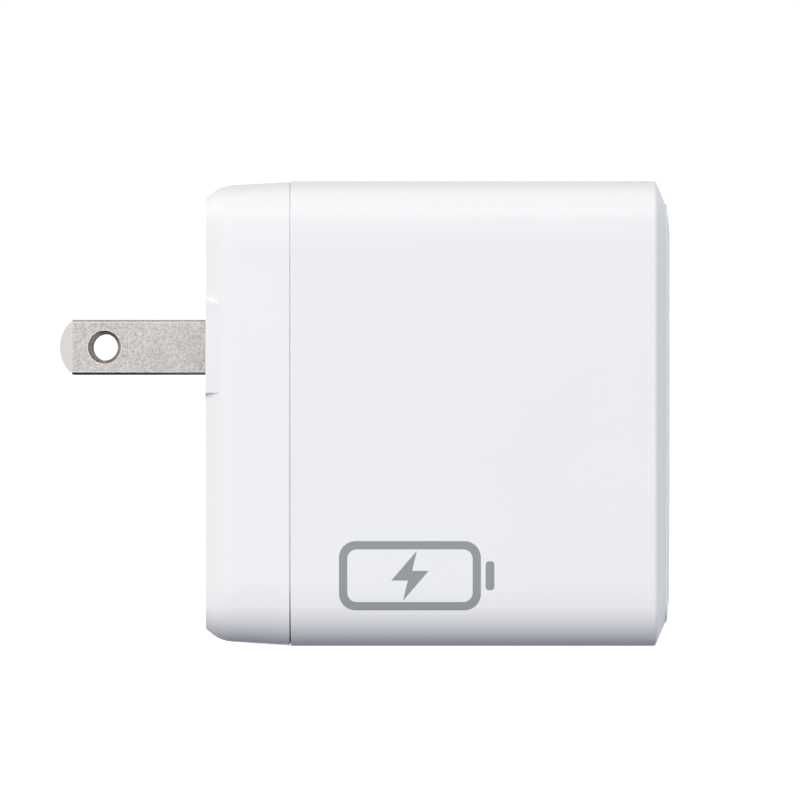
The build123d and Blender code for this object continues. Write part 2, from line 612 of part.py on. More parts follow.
pin_y = BOARD_Y + PIN_SIZE / 2
with BuildPart() as port_board:
    with BuildSketch(Plane.YZ.offset(PORT_BOARD_X)):
        RectangleRounded(2 * PORT_BOARD_HALF_WIDTH, 2 * PORT_BOARD_HALF_HEIGHT, PORT_BOARD_CORNER)
        with Locations((pin_y, 0)):
            with GridLocations(PIN_PITCH, PIN_PITCH, 1, PIN_COUNT):
                Circle(PIN_HOLE_RADIUS, mode=Mode.SUBTRACT)
    extrude(amount=PORT_BOARD_THICKNESS)
save(port_board, "port_board")

with BuildPart() as board_pins:
    with BuildSketch(Plane.YZ.offset(PIN_BACK_X)):
        with Locations((pin_y, 0)):
            with GridLocations(PIN_PITCH, PIN_PITCH, 1, PIN_COUNT):
                Rectangle(PIN_SIZE, PIN_SIZE)
    extrude(amount=PORT_BOARD_X + PORT_BOARD_THICKNESS + PIN_STAND - PIN_BACK_X)
save(board_pins, "board_pins")

# ---- output sockets -------------------------------------------------------------------------
socket_back_x = PORT_BOARD_X + PORT_BOARD_THICKNESS
insert_x = socket_back_x + SOCKET_FLOOR
for place, z in (("upper", USB_C_Z[0]), ("lower", USB_C_Z[1])):
    with BuildPart() as usb_c_shell:
        with BuildSketch(Plane.YZ.offset(socket_back_x)):
            with Locations((0, z)):
                SlotOverall(*USB_C_OUTER)
        extrude(amount=PORT_MOUTH_X - socket_back_x)
        with BuildSketch(Plane.YZ.offset(insert_x)):
            with Locations((0, z)):
                SlotOverall(*USB_C_INNER)
        extrude(amount=PORT_MOUTH_X - insert_x, mode=Mode.SUBTRACT)
        chamfer(usb_c_shell.faces().sort_by(Axis.X)[-1].inner_wires().edges(), length=SOCKET_LEAD_IN)
    save(usb_c_shell, f"usb_c_shell_{place}")

    with BuildPart() as usb_c_tongue:
        with BuildSketch(Plane.YZ.offset(insert_x)):
            with Locations((0, z)):
                SlotOverall(USB_C_INNER[0] - 2 * INSERT_PLAY, USB_C_INNER[1] - 2 * INSERT_PLAY)
        extrude(amount=INSERT_DEPTH)
        with BuildSketch(Plane.YZ.offset(insert_x + INSERT_DEPTH)):
            with Locations((0, z)):
                RectangleRounded(USB_C_TONGUE_WIDTH, USB_C_TONGUE_THICKNESS, USB_C_TONGUE_CORNER)
        extrude(amount=USB_C_TONGUE_TIP_X - insert_x - INSERT_DEPTH)
    save(usb_c_tongue, f"usb_c_tongue_{place}")

    with BuildPart() as usb_c_contacts:
        for side in (1, -1):
            pad_z = z + side * (USB_C_TONGUE_THICKNESS + USB_C_PAD_THICKNESS) / 2
            with BuildSketch(Plane.YZ.offset(insert_x + INSERT_DEPTH)):
                with Locations((0, pad_z)):
                    with GridLocations(USB_C_PAD_PITCH, 1, USB_C_PADS, 1):
                        Rectangle(USB_C_PAD_WIDTH, USB_C_PAD_THICKNESS)
            extrude(amount=USB_C_PAD_LENGTH)
    save(usb_c_contacts, f"usb_c_contacts_{place}")

with BuildPart() as usb_a_shell:
    with BuildSketch(Plane.YZ.offset(socket_back_x)):
        with Locations((0, USB_A_Z)):
            RectangleRounded(*USB_A_OUTER, USB_A_CORNER)
    extrude(amount=PORT_MOUTH_X - socket_back_x)
    with BuildSketch(Plane.YZ.offset(insert_x)):
        with Locations((0, USB_A_Z)):
            RectangleRounded(*USB_A_INNER, USB_A_CORNER / 2)
    extrude(amount=PORT_MOUTH_X - insert_x, mode=Mode.SUBTRACT)
    chamfer(usb_a_shell.faces().sort_by(Axis.X)[-1].inner_wires().edges(), length=SOCKET_LEAD_IN)
save(usb_a_shell, "usb_a_shell")

tongue_z = USB_A_Z + USB_A_TONGUE_RISE
with BuildPart() as usb_a_tongue:
    with BuildSketch(Plane.YZ.offset(insert_x)):
        with Locations((0, USB_A_Z)):
            RectangleRounded(USB_A_INNER[0] - 2 * INSERT_PLAY, USB_A_INNER[1] - 2 * INSERT_PLAY,
                             USB_A_CORNER / 2)
    extrude(amount=INSERT_DEPTH)
    with BuildSketch(Plane.YZ.offset(insert_x + INSERT_DEPTH)):
        with Locations((0, tongue_z)):
            Rectangle(USB_A_TONGUE_WIDTH, USB_A_TONGUE_THICKNESS)
    extrude(amount=USB_A_TONGUE_TIP_X - insert_x - INSERT_DEPTH)
    tongue_end = usb_a_tongue.faces().sort_by(Axis.X)[-1]
    chamfer(tongue_end.edges().filter_by(Axis.Y), length=USB_A_TONGUE_CHAMFER)
save(usb_a_tongue, "usb_a_tongue")

with BuildPart() as usb_a_contacts:
    with BuildSketch(Plane.YZ.offset(insert_x + INSERT_DEPTH)):
        with Locations((0, tongue_z - (USB_A_TONGUE_THICKNESS + USB_A_PAD_THICKNESS) / 2)):
            with GridLocations(USB_A_PAD_PITCH, 1, USB_A_PADS, 1):
                Rectangle(USB_A_PAD_WIDTH, USB_A_PAD_THICKNESS)
    extrude(amount=USB_A_PAD_LENGTH)
save(usb_a_contacts, "usb_a_contacts")

# ---- converter parts on the main board --------------------------------------------------------
for index, x in enumerate(BULK_X, start=1):
    with BuildPart() as bulk_capacitor:
        with BuildSketch(along_y(BOARD_Y)):
            with Locations((x, BULK_Z)):
                Circle(BULK_RADIUS)
        extrude(amount=-BULK_HEIGHT)
        fillet(bulk_capacitor.faces().sort_by(Axis.Y)[-1].edges(), radius=BULK_EDGE_RADIUS)
        with BuildSketch(along_y(BOARD_Y + BULK_HEIGHT)):
            with Locations((x, BULK_Z)):
                Rectangle(BULK_RADIUS, VENT_WIDTH)
                Rectangle(VENT_WIDTH, BULK_RADIUS)
        extrude(amount=VENT_DEPTH, mode=Mode.SUBTRACT)
        with BuildSketch(along_y(BOARD_Y + BULK_GROOVE_Y)):
            with Locations((x, BULK_Z)):
                Circle(BULK_RADIUS)
                Circle(BULK_RADIUS - BULK_GROOVE_DEPTH, mode=Mode.SUBTRACT)
        extrude(amount=-BULK_GROOVE_WIDTH, mode=Mode.SUBTRACT)
    save(bulk_capacitor, f"bulk_capacitor_{index}")

# each core half: a plate with a round middle post and two side legs, meeting at the parting plane
for name, plate_y, inward in (("transformer_core_lower", CORE_BOTTOM_Y, -1),
                              ("transformer_core_upper", CORE_BOTTOM_Y + CORE_HEIGHT, 1)):
    with BuildPart() as core_half:
        with BuildSketch(along_y(plate_y)):
            with Locations((TRANSFORMER_X, TRANSFORMER_Z)):
                Rectangle(CORE_LENGTH, CORE_WIDTH)
        extrude(amount=inward * CORE_PLATE)
        with BuildSketch(along_y(plate_y)):
            with Locations((TRANSFORMER_X, TRANSFORMER_Z)):
                Circle(CORE_POST_RADIUS)
            with Locations((TRANSFORMER_X - (CORE_LENGTH - CORE_LEG) / 2, TRANSFORMER_Z),
                           (TRANSFORMER_X + (CORE_LENGTH - CORE_LEG) / 2, TRANSFORMER_Z)):
                Rectangle(CORE_LEG, CORE_WIDTH)
        extrude(amount=inward * CORE_HEIGHT / 2)
    save(core_half, name)

bobbin_bottom_y = CORE_BOTTOM_Y + CORE_PLATE + CORE_GAP
bobbin_top_y = CORE_BOTTOM_Y + CORE_HEIGHT - CORE_PLATE - CORE_GAP
bar_offset = (BOBBIN_BASE_WIDTH - BOBBIN_BAR) / 2
with BuildPart() as transformer_bobbin:
    for flange_y in (bobbin_bottom_y, bobbin_top_y - BOBBIN_FLANGE):
        with BuildSketch(along_y(flange_y)):
            with Locations((TRANSFORMER_X, TRANSFORMER_Z)):
                Circle(BOBBIN_FLANGE_RADIUS)
        extrude(amount=-BOBBIN_FLANGE)
    with BuildSketch(along_y(bobbin_bottom_y)):
        with Locations((TRANSFORMER_X, TRANSFORMER_Z)):
            Rectangle(BOBBIN_BASE_LENGTH, BOBBIN_BASE_WIDTH)
    extrude(amount=-BOBBIN_FLANGE)
    with BuildSketch(along_y(bobbin_bottom_y)):
        with Locations((TRANSFORMER_X, TRANSFORMER_Z)):
            Circle(BOBBIN_TUBE_RADIUS)
    extrude(amount=bobbin_bottom_y - bobbin_top_y)
    with BuildSketch(along_y(BOARD_Y)):
        with Locations((TRANSFORMER_X, TRANSFORMER_Z)):
            with GridLocations(1, 2 * bar_offset, 1, 2):
                Rectangle(BOBBIN_BASE_LENGTH, BOBBIN_BAR)
    extrude(amount=BOARD_Y - bobbin_bottom_y)
    with BuildSketch(along_y(bobbin_bottom_y)):
        with Locations((TRANSFORMER_X, TRANSFORMER_Z)):
            Circle(CORE_POST_RADIUS + CORE_GAP)
    extrude(amount=bobbin_bottom_y - bobbin_top_y, mode=Mode.SUBTRACT)
save(transformer_bobbin, "transformer_bobbin")

with BuildPart() as transformer_winding:
    with BuildSketch(along_y(bobbin_bottom_y + BOBBIN_FLANGE)):
        with Locations((TRANSFORMER_X, TRANSFORMER_Z)):
            Circle(WINDING_RADIUS)
            Circle(BOBBIN_TUBE_RADIUS, mode=Mode.SUBTRACT)
    extrude(amount=bobbin_bottom_y - bobbin_top_y + 2 * BOBBIN_FLANGE)
save(transformer_winding, "transformer_winding")

with BuildPart() as choke_core:
    with BuildSketch(along_y(BOARD_Y + CHOKE_LIFT)):
        with Locations((CHOKE_X, CHOKE_Z)):
            Circle(CHOKE_OUTER_RADIUS)
            Circle(CHOKE_INNER_RADIUS, mode=Mode.SUBTRACT)
    extrude(amount=-CHOKE_THICKNESS)
    fillet(choke_core.edges().filter_by(GeomType.CIRCLE), radius=CHOKE_EDGE_RADIUS)
save(choke_core, "choke_core")

choke_middle_y = BOARD_Y + CHOKE_LIFT + CHOKE_THICKNESS / 2
turn_step = CHOKE_SPREAD / (CHOKE_TURNS - 1)
ring_width = CHOKE_OUTER_RADIUS - CHOKE_INNER_RADIUS
turn_angles = [half + (turn - (CHOKE_TURNS - 1) / 2) * turn_step
               for half in (90, 270) for turn in range(CHOKE_TURNS)]
with BuildPart() as choke_windings:
    for angle in turn_angles:
        turn_plane = Plane(origin=(CHOKE_X, choke_middle_y, CHOKE_Z),
                           x_dir=(cos(radians(angle)), 0, sin(radians(angle))),
                           z_dir=(-sin(radians(angle)), 0, cos(radians(angle))))
        with BuildSketch(turn_plane):
            with Locations(((CHOKE_INNER_RADIUS + CHOKE_OUTER_RADIUS) / 2, 0)):
                RectangleRounded(ring_width + 2 * CHOKE_WIRE, CHOKE_THICKNESS + 2 * CHOKE_WIRE,
                                 CHOKE_WIRE_BEND)
                Rectangle(ring_width + 2 * CHOKE_WIRE_GAP, CHOKE_THICKNESS + 2 * CHOKE_WIRE_GAP,
                          mode=Mode.SUBTRACT)
        extrude(amount=CHOKE_WIRE / 2, both=True)
save(choke_windings, "choke_windings")

# boxes on a board: name, centre x, centre z, length along X, height along Z, thickness
TOP_BOXES = (("x_capacitor", 15.6, -4.4, 3.4, 12.0, 11.0),
             ("optocoupler", 29.6, 12.2, 4.6, 6.4, 2.2))
for name, x, z, length, height, thickness in TOP_BOXES:
    with BuildPart() as box_part:
        with BuildSketch(along_y(BOARD_Y)):
            with Locations((x, z)):
                Rectangle(length, height)
        extrude(amount=-thickness)
        fillet(box_part.edges().filter_by(Axis.Y), radius=BOX_EDGE_RADIUS)
    save(box_part, name)

UNDER_CHIPS = (("bridge_rectifier", 20.4, 13.0, 10.0, 8.0, 1.2),
               ("gan_switch", 24.0, -2.0, 8.0, 6.0, 0.9),
               ("flyback_controller", 21.0, -11.5, 5.0, 4.0, 0.9),
               ("sync_rectifier", 34.0, 2.0, 5.0, 6.0, 1.0))
for name, x, z, length, height, thickness in UNDER_CHIPS:
    with BuildPart() as chip:
        with BuildSketch(along_y(board_under_y)):
            with Locations((x, z)):
                Rectangle(length, height)
        extrude(amount=thickness)
        chamfer(chip.faces().sort_by(Axis.Y)[0].edges(), length=CHIP_CHAMFER)
    save(chip, name)

with BuildPart() as chip_components:
    with BuildSketch(along_y(board_under_y)):
        with Locations(CHIP_GRID_MIDDLE):
            with GridLocations(*CHIP_GRID_STEP, CHIP_GRID_COUNT, CHIP_GRID_COUNT):
                Rectangle(*CHIP_SIZE)
    extrude(amount=CHIP_HEIGHT)
save(chip_components, "chip_components")

# round cans that stand on the board: name, centre x, centre z, radius, height, edge radius
CANS = (("fuse", 15.8, 7.3, 1.85, 8.0, 0.5),
        ("output_capacitor_1", 35.9, 12.9, 3.15, 9.0, 0.4),
        ("output_capacitor_2", 35.9, 19.7, 3.15, 9.0, 0.4))
for name, x, z, radius, height, edge_radius in CANS:
    with BuildPart() as can:
        with BuildSketch(along_y(BOARD_Y)):
            with Locations((x, z)):
                Circle(radius)
        extrude(amount=-height)
        fillet(can.faces().sort_by(Axis.Y)[-1].edges(), radius=edge_radius)
    save(can, name)

with BuildPart() as inrush_thermistor:
    with BuildSketch(Plane.XY.offset(THERMISTOR_Z)):
        with Locations((THERMISTOR_X, BOARD_Y + LEG_HEIGHT[0] + THERMISTOR_RADIUS)):
            Circle(THERMISTOR_RADIUS)
    extrude(amount=THERMISTOR_THICKNESS)
    fillet(inrush_thermistor.edges().filter_by(GeomType.CIRCLE), radius=THERMISTOR_EDGE_RADIUS)
save(inrush_thermistor, "inrush_thermistor")

with BuildPart() as y_capacitor:
    with BuildSketch(Plane.YZ.offset(Y_CAPACITOR_X)):
        with Locations((BOARD_Y + LEG_HEIGHT[1] + Y_CAPACITOR_RADIUS, Y_CAPACITOR_Z)):
            Circle(Y_CAPACITOR_RADIUS)
    extrude(amount=Y_CAPACITOR_THICKNESS)
    fillet(y_capacitor.edges().filter_by(GeomType.CIRCLE), radius=Y_CAPACITOR_EDGE_RADIUS)
save(y_capacitor, "y_capacitor")

# parts on the rear side of the port board: name, centre y, centre z, width, height, thickness
PORT_BOARD_PARTS = (("pd_controller", 8.4, -3.6, 5.0, 5.0, 0.9),
                    ("buck_inductor", 5.6, 16.2, 7.0, 7.0, 4.0))
for name, y, z, width, height, thickness in PORT_BOARD_PARTS:
    with BuildPart() as port_part:
        with BuildSketch(Plane.YZ.offset(PORT_BOARD_X)):
            with Locations((y, z)):
                Rectangle(width, height)
        extrude(amount=-thickness)
        chamfer(port_part.edges().filter_by(Axis.X), length=PORT_PART_CHAMFER)
    save(port_part, name)

with BuildPart() as port_switches:
    with BuildSketch(Plane.YZ.offset(PORT_BOARD_X)):
        with Locations(*PORT_SWITCH_PLACES):
            Rectangle(PORT_SWITCH_SIZE, PORT_SWITCH_SIZE)
    extrude(amount=-PORT_SWITCH_THICKNESS)
save(port_switches, "port_switches")

# ---- heat paths and insulation ------------------------------------------------------------------
layer_middle_x = (BOARD_BACK_X + BOARD_FRONT_X) / 2
LAYERS = (("insulating_sheet_left", SHEET_Y, SHEET_THICKNESS, SHEET_HALF_HEIGHT),
          ("insulating_sheet_right", -SHEET_Y, SHEET_THICKNESS, SHEET_HALF_HEIGHT),
          ("heat_spreader_left", SPREADER_Y, SPREADER_THICKNESS, SPREADER_HALF_HEIGHT),
          ("heat_spreader_right", -SPREADER_Y, SPREADER_THICKNESS, SPREADER_HALF_HEIGHT))
for name, y, thickness, layer_half_height in LAYERS:
    with BuildPart() as layer:
        with BuildSketch(along_y(y)):
            with Locations((layer_middle_x, 0)):
                RectangleRounded(BOARD_FRONT_X - BOARD_BACK_X - 2 * LAYER_MARGIN, 2 * layer_half_height,
                                 LAYER_CORNER)
        extrude(amount=thickness / 2, both=True)
    save(layer, name)

pad_bottom_y = CORE_BOTTOM_Y + CORE_HEIGHT
with BuildPart() as thermal_pad:
    with BuildSketch(along_y(pad_bottom_y)):
        with Locations((TRANSFORMER_X, TRANSFORMER_Z)):
            Rectangle(CORE_LENGTH - 2 * LAYER_MARGIN, CORE_WIDTH - 2 * LAYER_MARGIN)
    extrude(amount=pad_bottom_y - SHEET_Y + SHEET_THICKNESS / 2)
save(thermal_pad, "thermal_pad")
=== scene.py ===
import json
import math

import bmesh
import bpy
from mathutils import Matrix, Vector
from mathutils.bvhtree import BVHTree


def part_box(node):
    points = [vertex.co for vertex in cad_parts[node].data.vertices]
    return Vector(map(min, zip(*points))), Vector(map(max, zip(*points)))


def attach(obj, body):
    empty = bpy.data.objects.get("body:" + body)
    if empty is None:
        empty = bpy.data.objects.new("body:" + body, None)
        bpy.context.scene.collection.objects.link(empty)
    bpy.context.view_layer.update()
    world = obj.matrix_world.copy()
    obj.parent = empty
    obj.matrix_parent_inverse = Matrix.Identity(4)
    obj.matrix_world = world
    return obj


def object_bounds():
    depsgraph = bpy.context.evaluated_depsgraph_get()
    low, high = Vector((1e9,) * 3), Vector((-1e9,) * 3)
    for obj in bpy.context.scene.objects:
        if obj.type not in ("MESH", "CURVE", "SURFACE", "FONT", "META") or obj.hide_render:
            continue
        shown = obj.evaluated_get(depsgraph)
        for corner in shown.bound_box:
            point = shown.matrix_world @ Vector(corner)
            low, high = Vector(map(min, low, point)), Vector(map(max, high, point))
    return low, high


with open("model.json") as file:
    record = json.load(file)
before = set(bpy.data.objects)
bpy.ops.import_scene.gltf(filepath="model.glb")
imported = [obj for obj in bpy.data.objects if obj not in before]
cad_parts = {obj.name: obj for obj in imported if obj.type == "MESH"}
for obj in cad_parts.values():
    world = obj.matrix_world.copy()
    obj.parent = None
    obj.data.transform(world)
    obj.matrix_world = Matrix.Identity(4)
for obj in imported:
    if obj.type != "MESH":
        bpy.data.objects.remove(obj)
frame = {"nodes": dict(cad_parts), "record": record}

# A wall-plug power adapter, seen square on from its side. Lengths are in metres.
CAD_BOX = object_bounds()
NODES = frame["nodes"]
BODY_LOW, BODY_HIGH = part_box("main_shell")

# ---- outline of the body seen along X: gentle arcs lead into each tight corner arc ------------------
CORNER_RADIUS = 0.005
CORNER_LEAD_RADIUS = 0.020
CORNER_LEAD_ANGLE = 8                   # degrees

# ---- seam between the rear cover and the main shell -------------------------------------------------
SEAM_GAP = 0.00016
SEAM_DEPTH = 0.00030                    # from the body's surface to the bottom of the seam
SEAM_DEPTH_LOW = 0.0011                 # the same at the underside, where the seam is deeper
SEAM_DEEPENS = (-0.0188, -0.0262)       # Z where it starts to deepen, and where it is deepest
SEAM_RING_WALL = 0.0006
SEAM_RING_OVERLAP = 0.00004

# ---- printed mark: a battery outline with a bolt ----------------------------------------------------
MARK_CENTRE = (0.02435, -0.01875)       # X, Z
MARK_SIZE = (0.0178, 0.0080)
MARK_LINE = 0.00095
MARK_OUTER_RADIUS = 0.0019
MARK_INNER_RADIUS = 0.0011
MARK_STRIP = 0.0004                     # height of the strips that follow the shell's curve
KNOB_ROOM = 0.0014                      # what the battery's knob takes of the mark's width
KNOB_WIDTH = 0.72                       # of that room
KNOB_HEIGHT = 0.42                      # of the mark's height
KNOB_RADIUS = 0.0004
# corners of the bolt, as shares of the mark's height
BOLT = ((0.10, 0.36), (-0.27, -0.07), (-0.03, -0.07), (-0.10, -0.36), (0.27, 0.07), (0.03, 0.07))
INK_GREY = (0.285, 0.295, 0.31)
INK_THICKNESS = 0.00002

# ---- finishes ---------------------------------------------------------------------------------------
HOUSING_WHITE = (0.868, 0.866, 0.868)
PLASTIC_IOR = 1.47
FLOW_SIZE = 0.012                       # of the faint flow marks in moulded plastic
CLOUD_SIZE = 14                         # of the clouds in plated metal, in grains
CLOUD_SHARE = 0.12
BLADE_GREY = (0.400, 0.378, 0.361)
BLADE_ROUGHNESS = 0.42
COINED_COLOUR = (0.418, 0.416, 0.407)   # the blades' tips, pressed smooth
# The blades' edges get a bright base colour: partly rubbed plating, partly a painted highlight along
# every edge.
EDGE_WEAR_AND_HIGHLIGHT_COLOUR = (0.90, 0.89, 0.87)        # rubbed plating along the blades' edges, and a painted highlight on them
EDGE_WEAR_AND_HIGHLIGHT_WIDTH = 0.00014
EDGE_WEAR_AND_HIGHLIGHT_LEAN = (0.95, 0.998)               # cosine of the rounded edge's lean: full wear and painted highlight, none
# size of the normal's Y on the blades' tips; flat faces have 1 and chamfers 0.7
TIP_SLOPE = (0.93, 0.95, 0.985, 0.995)  # rises, full from, full to, gone
TRACK_SCALE = 260.0                     # of the board's copper tracks
TRACK_GAP = 0.06
WAVE_SPACING = 3                        # turns 1 / pitch into the scale of a wave texture

# ---- camera: square on to the side ------------------------------------------------------------------
LENS = 580.0                            # mm
SENSOR = 36.0                           # mm
VIEW_WIDTH = 0.0934                     # across the view at the middle of the object
VIEW_CENTRE_X = 0.0225
VIEW_CENTRE_Z = 0.00156
CLIP_END = 10

# ---- studio -----------------------------------------------------------------------------------------
FLOOR_GAP = 0.00002                     # keeps the floor out of the plane of the body's underside
FLOOR_Z = CAD_BOX[0].z - FLOOR_GAP
FLOOR_SIZE = 4.0
FLOOR_GLOW = 0.80
FLOOR_WHITE = (0.9, 0.9, 0.9)
DOME_RADIUS = 2.3
BACKDROP_GLOW = 1.10
LAMP_TARGET = Vector((0.022, 0, 0))
# softboxes: name, azimuth, elevation, distance, (width, height), power in watts
LAMPS = (
    ("key", -18, 6, 1.2, (0.5, 0.4), 2.75),
    ("high", -10, 38, 1.2, (0.6, 0.4), 2.75),
    ("top", 0, 88, 1.1, (0.4, 0.4), 1.05),
    ("left", -95, 32, 1.2, (0.4, 0.4), 1.24),
    ("back", 180, 25, 1.3, (1.0, 0.6), 0.28),
)
# colour and brightness of the surroundings by elevation in degrees; bluish below
SURROUNDINGS = (
    (-90, (0.0, 0.0, 0.0)),
    (-30, (0.20, 0.23, 0.32)),
    (0, (1.25, 1.23, 1.21)),
    (30, (0.72, 0.72, 0.72)),
    (90, (0.23, 0.23, 0.23)),
)
FLAG_TINT = (0.85, 0.91, 0.96)          # what is left of them towards +X, as behind a grey flag


# ---- objects and meshes -----------------------------------------------------------------------------
def add_object(name, data):
    new = bpy.data.objects.new(name, data)
    bpy.context.scene.collection.objects.link(new)
    return new


def add_piece(name, mesh):
    """A new piece of the housing."""
    piece = add_object(name, mesh)
    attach(piece, "housing")


def finished_mesh(builder, name, material):
    """Turns a mesh under construction into a finished one with its material."""
    mesh = bpy.data.meshes.new(name)
    builder.to_mesh(mesh)
    builder.free()
    mesh.materials.append(material)
    return mesh


# ---- node helpers -----------------------------------------------------------------------------------
def new_material(name):
    """A material with its node tree and its Principled shader."""
    material = bpy.data.materials.new(name)
    material.use_nodes = True
    tree = material.node_tree
    return material, tree, tree.nodes["Principled BSDF"]


def object_coordinates(tree, stretch=(1, 1, 1)):
    """Coordinates fixed to the piece, in metres, stretched along its axes."""
    coordinates = tree.nodes.new("ShaderNodeTexCoord")
    mapping = tree.nodes.new("ShaderNodeMapping")
    mapping.inputs["Scale"].default_value = stretch
    tree.links.new(coordinates.outputs["Object"], mapping.inputs["Vector"])
    return mapping.outputs["Vector"]


def noise(tree, vector, size, detail=2.0, roughness=0.5):
    """Noise with features about size metres across."""
    node = tree.nodes.new("ShaderNodeTexNoise")
    node.inputs["Scale"].default_value = 1 / size
    node.inputs["Detail"].default_value = detail
    node.inputs["Roughness"].default_value = roughness
    tree.links.new(vector, node.inputs["Vector"])
    return node.outputs["Fac"]


def spread(tree, value, low, high, from_low=0.3, from_high=0.7):
    """Maps a value between from_low and from_high to the range low to high."""
    node = tree.nodes.new("ShaderNodeMapRange")
    node.inputs["From Min"].default_value = from_low
    node.inputs["From Max"].default_value = from_high
    node.inputs["To Min"].default_value = low
    node.inputs["To Max"].default_value = high
    tree.links.new(value, node.inputs["Value"])
    return node.outputs["Result"]


def ramp(tree, value, stops):
    """Colour ramp through (position, colour) stops."""
    node = tree.nodes.new("ShaderNodeValToRGB")
    elements = node.color_ramp.elements
    while len(elements) < len(stops):
        elements.new(0.5)
    for element, (position, colour) in zip(elements, stops):
        element.position = position
        element.color = (*colour, 1)
    tree.links.new(value, node.inputs["Fac"])
    return node.outputs["Color"]


def blend(tree, factor, first, second):
    """Number that goes from first to second as factor rises. Each is an output or a plain number."""
    mix = tree.nodes.new("ShaderNodeMix")
    mix.data_type = "FLOAT"
    for name, value in (("Factor", factor), ("A", first), ("B", second)):
        if isinstance(value, bpy.types.NodeSocket):
            tree.links.new(value, mix.inputs[name])
        else:
            mix.inputs[name].default_value = value
    return mix.outputs["Result"]


def cover(tree, factor, colours, top):
    """Lays the plain colour top over colours where factor is 1."""
    mix = tree.nodes.new("ShaderNodeMixRGB")
    mix.inputs["Color2"].default_value = (*top, 1)
    tree.links.new(factor, mix.inputs["Fac"])
    tree.links.new(colours, mix.inputs["Color1"])
    return mix.outputs["Color"]


def shade(colour, factor):
    return tuple(min(1.0, channel * factor) for channel in colour)


def tint(tree, shader, value, colour, dark, light=1, low=0.3, high=0.7):
    """Base colour from dark to light times colour, as a value rises from low to high."""
    stops = [(low, shade(colour, dark)), (high, shade(colour, light))]
    tree.links.new(ramp(tree, value, stops), shader.inputs["Base Color"])


def roughen(tree, shader, value, low, high):
    """Roughness that follows a noise value from low to high."""
    tree.links.new(spread(tree, value, low, high), shader.inputs["Roughness"])


def bump(tree, shader, height, depth):
    """Adds relief of about depth metres to a shader."""
    node = tree.nodes.new("ShaderNodeBump")
    node.inputs["Distance"].default_value = depth
    tree.links.new(height, node.inputs["Height"])
    tree.links.new(node.outputs["Normal"], shader.inputs["Normal"])


# ---- materials --------------------------------------------------------------------------------------
def moulded_plastic(name, colour, roughness=0.42):
    """Moulded plastic: an even colour with faint flow marks and a fine spark-eroded texture."""
    material, tree, shader = new_material(name)
    vector = object_coordinates(tree)
    flow = noise(tree, vector, FLOW_SIZE, detail=3)
    tint(tree, shader, flow, colour, dark=0.988, low=0.25, high=0.75)
    fine = noise(tree, vector, 0.00012, detail=2, roughness=0.55)
    roughen(tree, shader, fine, roughness - 0.04, roughness + 0.04)
    bump(tree, shader, fine, depth=0.0000022)
    shader.inputs["IOR"].default_value = PLASTIC_IOR
    return material


def metal_speckle(tree, colour, grain, variation, stretch=(1, 1, 1)):
    """Fine speckle on metal: the noise itself, and the colours it gives."""
    vector = object_coordinates(tree, stretch)
    speck = noise(tree, vector, grain, detail=4, roughness=0.65)
    cloud = noise(tree, vector, grain * CLOUD_SIZE, detail=3)
    stops = [(0.30, shade(colour, 1 - variation)), (0.50, colour), (0.70, shade(colour, 1 + variation))]
    return speck, ramp(tree, blend(tree, CLOUD_SHARE, speck, cloud), stops)


def plated_metal(name, colour, roughness=0.30, grain=0.00010, relief=0.000002, variation=0.12,
                 stretch=(1, 1, 1)):
    """Plated or rolled metal with a fine speckle."""
    material, tree, shader = new_material(name)
    speck, colours = metal_speckle(tree, colour, grain, variation, stretch)
    tree.links.new(colours, shader.inputs["Base Color"])
    roughen(tree, shader, speck, roughness - 0.07, roughness + 0.07)
    bump(tree, shader, speck, relief)
    shader.inputs["Metallic"].default_value = 1.0
    return material


def tip_faces(tree):
    """1 on the slopes of the blades' tips, 0 on all other faces."""
    coordinates = tree.nodes.new("ShaderNodeTexCoord")
    split = tree.nodes.new("ShaderNodeSeparateXYZ")
    tree.links.new(coordinates.outputs["Normal"], split.inputs["Vector"])
    across = tree.nodes.new("ShaderNodeMath")
    across.operation = "ABSOLUTE"
    tree.links.new(split.outputs["Y"], across.inputs[0])
    levels = ((0, 0, 0), (1, 1, 1), (1, 1, 1), (0, 0, 0))
    return ramp(tree, across.outputs["Value"], list(zip(TIP_SLOPE, levels)))


def wear_and_highlight_edges(tree):
    """Mask for rubbed plating and a painted edge highlight: 1 along the piece's edges, 0 away from
    them.
    """
    geometry = tree.nodes.new("ShaderNodeNewGeometry")
    rounding = tree.nodes.new("ShaderNodeBevel")
    rounding.inputs["Radius"].default_value = EDGE_WEAR_AND_HIGHLIGHT_WIDTH
    lean = tree.nodes.new("ShaderNodeVectorMath")
    lean.operation = "DOT_PRODUCT"
    tree.links.new(geometry.outputs["Normal"], lean.inputs[0])
    tree.links.new(rounding.outputs["Normal"], lean.inputs[1])
    return spread(tree, lean.outputs["Value"], 1, 0, *EDGE_WEAR_AND_HIGHLIGHT_LEAN)


def blade_metal(name):
    """Plated blades: a coarse speckle, smooth coined tips, and bright edges that are partly rubbed
    plating, partly a painted highlight.
    """
    material, tree, shader = new_material(name)
    speck, colours = metal_speckle(tree, BLADE_GREY, grain=0.00020, variation=0.50)
    tips = tip_faces(tree)
    coined = cover(tree, tips, colours, COINED_COLOUR)
    # bright base colour along every edge: partly rubbed plating, partly a painted highlight
    edge_wear_and_highlight = cover(tree, wear_and_highlight_edges(tree), coined, EDGE_WEAR_AND_HIGHLIGHT_COLOUR)
    tree.links.new(edge_wear_and_highlight, shader.inputs["Base Color"])
    uneven = spread(tree, speck, BLADE_ROUGHNESS - 0.07, BLADE_ROUGHNESS + 0.07)
    tree.links.new(blend(tree, tips, uneven, BLADE_ROUGHNESS), shader.inputs["Roughness"])
    bump(tree, shader, blend(tree, tips, speck, 0.5), depth=0.000007)
    shader.inputs["Metallic"].default_value = 1.0
    return material


